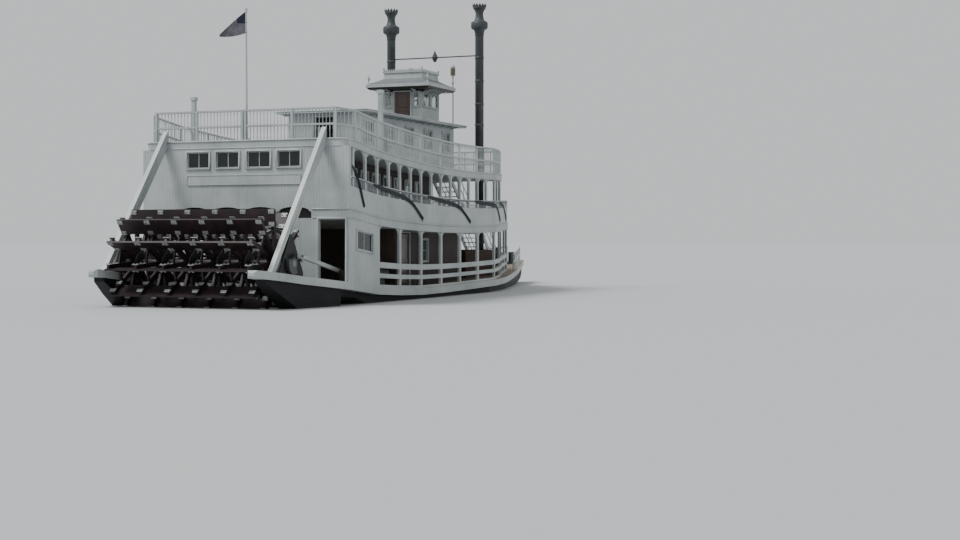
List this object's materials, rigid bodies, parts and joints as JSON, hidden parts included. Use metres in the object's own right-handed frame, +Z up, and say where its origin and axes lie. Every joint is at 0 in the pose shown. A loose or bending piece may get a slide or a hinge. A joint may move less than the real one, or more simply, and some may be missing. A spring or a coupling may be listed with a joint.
{
  "type": "sternwheel paddle boat",
  "caption": "Multi-deck sternwheel river paddle boat with a white superstructure, black hull, turning paddle wheel with pitman rods, pilothouse and two tall stacks.",
  "frame": {"origin": "on the flat underside of the hull, midway between the paddle wheel's aft guard and the stem, on the centre plane", "axes": "+X towards the bow, +Y to port, +Z up; the boat floats with its waterline at Z = 0.6 m"},
  "size_m": [32, 8.1, 12.95],
  "materials": {
    "hull_paint": "satin",
    "deck_boards": "matt",
    "iron": "satin",
    "wheel_timber": "matt",
    "stack_paint": "satin",
    "brick_setting": "matt",
    "dark_boards": "matt",
    "flag_cloth": "matt",
    "varnished_wood": "satin",
    "white_paint": "satin"
  },
  "bodies": {
    "boat": {"bearing_stand_port": "iron", "bearing_stand_starboard": "iron", "boiler": "brick_setting", "bunting_port": "flag_cloth", "bunting_starboard": "flag_cloth", "capstan": "iron", "deck_house": "dark_boards", "engine_port": "iron", "engine_room_walls": "white_paint", "engine_starboard": "iron", "ensign": "flag_cloth", "fantail_guard_port": "white_paint", "fantail_guard_starboard": "white_paint", "flagstaff": "white_paint", "foredeck_rail_port": "white_paint", "foredeck_rail_starboard": "white_paint", "foredeck_stair": "white_paint", "hog_post_port": "white_paint", "hog_post_starboard": "white_paint", "hull": "hull_paint", "main_arcade_port": "white_paint", "main_arcade_starboard": "white_paint", "main_deck": "deck_boards", "mooring_bitts": "hull_paint", "pilothouse": "white_paint", "pilothouse_roof": "white_paint", "promenade_deck": "white_paint", "promenade_side_port": "white_paint", "promenade_side_starboard": "white_paint", "saloon_walls": "dark_boards", "signal_mast": "white_paint", "stack_port": "stack_paint", "stack_spreader": "stack_paint", "stack_starboard": "stack_paint", "stern_brace_port": "white_paint", "stern_brace_starboard": "white_paint", "stern_face": "white_paint", "texas_cabin": "white_paint", "texas_deck": "white_paint", "texas_rail_port": "white_paint", "texas_rail_starboard": "white_paint", "texas_roof": "white_paint", "texas_stair": "white_paint", "wheel_beam_port": "hull_paint", "wheel_beam_starboard": "hull_paint", "wheel_stand": "varnished_wood"},
    "paddle_wheel_set": {"paddle_wheel": "wheel_timber", "crank_starboard": "iron", "crank_port": "iron"},
    "pitman_rod_starboard": {"pitman_starboard": "white_paint"},
    "pitman_rod_port": {"pitman_port": "white_paint"},
    "rudder_blade_starboard": {"rudder_starboard": "iron"},
    "rudder_blade_port": {"rudder_port": "iron"},
    "steering_wheel": {"ships_wheel": "varnished_wood"},
    "house_door_leaf_starboard": {"house_door_starboard": "varnished_wood"},
    "house_door_leaf_port": {"house_door_port": "varnished_wood"},
    "saloon_door_leaf": {"saloon_door": "varnished_wood"},
    "cabin_door_leaf": {"cabin_door": "varnished_wood"},
    "pilothouse_door_leaf": {"pilothouse_door": "varnished_wood"}
  },
  "joints": [
    {"name": "paddle_wheel_spin", "type": "hinge", "parent": "boat", "child": "paddle_wheel_set", "pos_m": [-13.9, 0, 2.03], "axis": [0, 1, 0], "continuous": true},
    {"name": "pitman_starboard_swing", "type": "hinge", "parent": "paddle_wheel_set", "child": "pitman_rod_starboard", "pos_m": [-13.6999, -3.38, 2.26019], "axis": [0, 1, 0], "continuous": true},
    {"name": "pitman_port_swing", "type": "hinge", "parent": "paddle_wheel_set", "child": "pitman_rod_port", "pos_m": [-14.13019, 3.38, 2.2301], "axis": [0, 1, 0], "continuous": true},
    {"name": "rudder_starboard_turn", "type": "hinge", "parent": "boat", "child": "rudder_blade_starboard", "pos_m": [-11.1, -1.6, 0.4], "axis": [0, 0, 1], "range_deg": [-35, 35]},
    {"name": "rudder_port_turn", "type": "hinge", "parent": "boat", "child": "rudder_blade_port", "pos_m": [-11.1, 1.6, 0.4], "axis": [0, 0, 1], "range_deg": [-35, 35]},
    {"name": "ships_wheel_turn", "type": "hinge", "parent": "boat", "child": "steering_wheel", "pos_m": [2.9, 0, 8.25], "axis": [1, 0, 0], "range_deg": [-210, 210]},
    {"name": "house_door_starboard_swing", "type": "hinge", "parent": "boat", "child": "house_door_leaf_starboard", "pos_m": [-4.158, -2.789, 1.5], "axis": [0, 0, 1], "range_deg": [0, 100]},
    {"name": "house_door_port_swing", "type": "hinge", "parent": "boat", "child": "house_door_leaf_port", "pos_m": [-4.158, 2.789, 1.5], "axis": [0, 0, -1], "range_deg": [0, 100]},
    {"name": "saloon_door_swing", "type": "hinge", "parent": "boat", "child": "saloon_door_leaf", "pos_m": [-1.861, 0.452, 4], "axis": [0, 0, 1], "range_deg": [0, 100]},
    {"name": "cabin_door_swing", "type": "hinge", "parent": "boat", "child": "cabin_door_leaf", "pos_m": [3.289, 0.372, 6.5], "axis": [0, 0, 1], "range_deg": [0, 100]},
    {"name": "pilothouse_door_swing", "type": "hinge", "parent": "boat", "child": "pilothouse_door_leaf", "pos_m": [1.421, 0.322, 8.2], "axis": [0, 0, -1], "range_deg": [0, 100]}
  ],
  "couplings": [
    {"joint": "pitman_starboard_swing", "follows": "paddle_wheel_spin", "ratio": -1},
    {"joint": "pitman_port_swing", "follows": "paddle_wheel_spin", "ratio": -1},
    {"joint": "rudder_port_turn", "follows": "rudder_starboard_turn", "ratio": 1},
    {"joint": "ships_wheel_turn", "follows": "rudder_starboard_turn", "ratio": 6}
  ]
}
